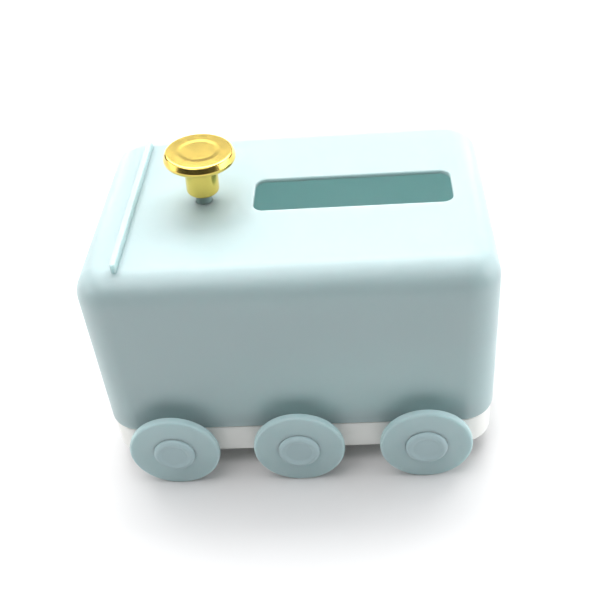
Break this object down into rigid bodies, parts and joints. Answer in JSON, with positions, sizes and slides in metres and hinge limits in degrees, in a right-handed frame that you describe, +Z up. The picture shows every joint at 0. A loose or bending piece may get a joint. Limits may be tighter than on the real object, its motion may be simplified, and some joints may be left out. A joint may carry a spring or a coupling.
{
  "type": "wagon money box",
  "caption": "Moulded wagon-shaped money box: rounded shell with a long roof slot and a gold chimney knob, lifting off a white tray on rolling wheels.",
  "frame": {"origin": "on the ground under the middle of the wagon", "axes": "+X along the length from the chimney end to the slotted end, +Z up"},
  "size_m": [0.2, 0.1642, 0.1555],
  "materials": {
    "mint_shell": "satin moulded plastic, pale mint blue",
    "mint_wheel": "satin moulded plastic, mint blue",
    "mint_cap": "satin moulded plastic, mint blue",
    "white_tray": "satin moulded plastic, warm white",
    "gold_plate": "mirror-bright gold plating on moulded plastic",
    "steel": "bright zinc-plated steel"
  },
  "bodies": {
    "tray": {"base_tray": "white_tray"},
    "front_axle": {"axle_front": "steel", "wheel_front_near": "mint_wheel", "wheel_front_far": "mint_wheel", "hub_cap_front_near": "mint_cap", "hub_cap_front_far": "mint_cap"},
    "middle_axle": {"axle_middle": "steel", "wheel_middle_near": "mint_wheel", "wheel_middle_far": "mint_wheel", "hub_cap_middle_near": "mint_cap", "hub_cap_middle_far": "mint_cap"},
    "rear_axle": {"axle_rear": "steel", "wheel_rear_near": "mint_wheel", "wheel_rear_far": "mint_wheel", "hub_cap_rear_near": "mint_cap", "hub_cap_rear_far": "mint_cap"},
    "shell": {"body_shell": "mint_shell", "chimney_bush": "mint_shell", "knob_washer": "steel"},
    "knob": {"chimney_knob": "gold_plate", "knob_screw": "steel"}
  },
  "joints": [
    {"name": "front_axle_roll", "type": "hinge", "parent": "tray", "child": "front_axle", "pos_m": [-0.0643, 0, 0.02325], "axis": [0, 1, 0], "continuous": true},
    {"name": "middle_axle_roll", "type": "hinge", "parent": "tray", "child": "middle_axle", "pos_m": [0, 0, 0.02325], "axis": [0, 1, 0], "continuous": true},
    {"name": "rear_axle_roll", "type": "hinge", "parent": "tray", "child": "rear_axle", "pos_m": [0.0643, 0, 0.02325], "axis": [0, 1, 0], "continuous": true},
    {"name": "shell_lift", "type": "slide", "parent": "tray", "child": "shell", "axis": [0, 0, 1], "range_m": [0, 0.12]},
    {"name": "knob_turn", "type": "hinge", "parent": "shell", "child": "knob", "pos_m": [-0.0423, -0.0018, 0.126], "axis": [0.0523, 0, 0.9986], "continuous": true}
  ]
}
